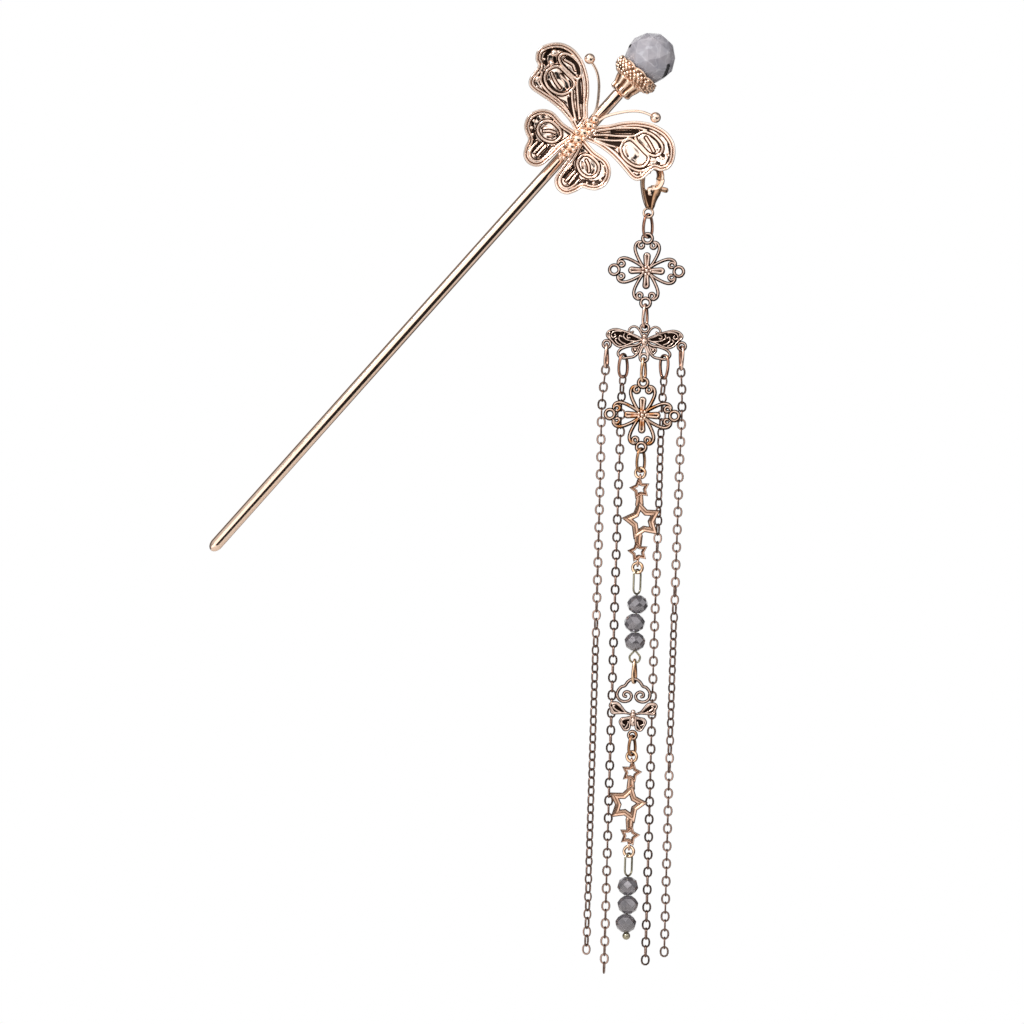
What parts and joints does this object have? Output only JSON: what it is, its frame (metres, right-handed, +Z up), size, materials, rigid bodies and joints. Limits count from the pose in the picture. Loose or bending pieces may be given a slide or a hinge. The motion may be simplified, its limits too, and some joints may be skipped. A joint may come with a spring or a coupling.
{
  "type": "hair stick",
  "caption": "Metal hair stick with a cast butterfly, a crystal bead in a crown cap, and a long tassel of filigree, star charms, beads and chains on a lobster clasp.",
  "frame": {"origin": "on the axis of the stick, 52.3 mm above its tip, where the hair holds it", "axes": "+Z up with the tassel hanging plumb, +X to the viewer's right towards the tassel, +Y away from the viewer; the stick rises 50 degrees above +X"},
  "size_m": [0.0947, 0.01, 0.19],
  "materials": {
    "rose_gold": "polished rose gold plating",
    "pale_gold": "polished pale gold plating",
    "satin_gold": "satin rose gold plating",
    "wire_steel": "bright drawn wire",
    "smoke_glass": "faceted smoky glass",
    "crystal": "faceted clear crystal"
  },
  "bodies": {
    "hairpin": {"stick": "rose_gold", "cup_cone": "pale_gold", "crown_cap": "pale_gold", "crystal_bead": "crystal", "butterfly": "rose_gold"},
    "wing_link": {"wing_ring": "pale_gold"},
    "tassel": {"clasp_body": "rose_gold", "ring_clasp": "rose_gold", "flower_upper": "rose_gold", "ring_flower_upper": "rose_gold", "filigree_butterfly": "rose_gold", "ring_flower_lower": "pale_gold", "flower_lower": "pale_gold", "ring_star_upper_long": "pale_gold", "ring_star_upper_round": "pale_gold", "star_charm_upper": "satin_gold", "ring_bead_upper": "pale_gold", "eye_wire_upper": "wire_steel", "bead_upper_1": "smoke_glass", "bead_upper_2": "smoke_glass", "bead_upper_3": "smoke_glass", "ring_scroll": "pale_gold", "scroll_connector": "rose_gold", "ring_star_lower_long": "pale_gold", "ring_star_lower_round": "pale_gold", "star_charm_lower": "satin_gold", "ring_bead_lower": "pale_gold", "eye_wire_lower": "wire_steel", "bead_lower_1": "smoke_glass", "bead_lower_2": "smoke_glass", "bead_lower_3": "smoke_glass", "ring_strand_1": "rose_gold", "ring_strand_2": "rose_gold", "ring_strand_3": "rose_gold", "ring_strand_4": "rose_gold", "chain_1": "rose_gold", "chain_2": "rose_gold", "chain_3": "rose_gold", "chain_4": "rose_gold"},
    "clasp_gate": {"clasp_lever": "rose_gold"}
  },
  "joints": [
    {"name": "drop_fore_aft", "type": "hinge", "parent": "hairpin", "child": "wing_link", "pos_m": [0.05178, -0.0002, 0.04062], "axis": [1, 0, 0], "range_deg": [-6, 40]},
    {"name": "drop_sideways", "type": "hinge", "parent": "wing_link", "child": "tassel", "pos_m": [0.05178, -0.0002, 0.03814], "axis": [0, 1, 0], "range_deg": [-35, 35]},
    {"name": "clasp_gate_opens", "type": "hinge", "parent": "tassel", "child": "clasp_gate", "pos_m": [0.05178, -0.0002, 0.03328], "axis": [0, -1, 0], "range_deg": [0, 25], "stiffness_Nm_per_rad": 0.004, "springref_deg": -17.19}
  ]
}
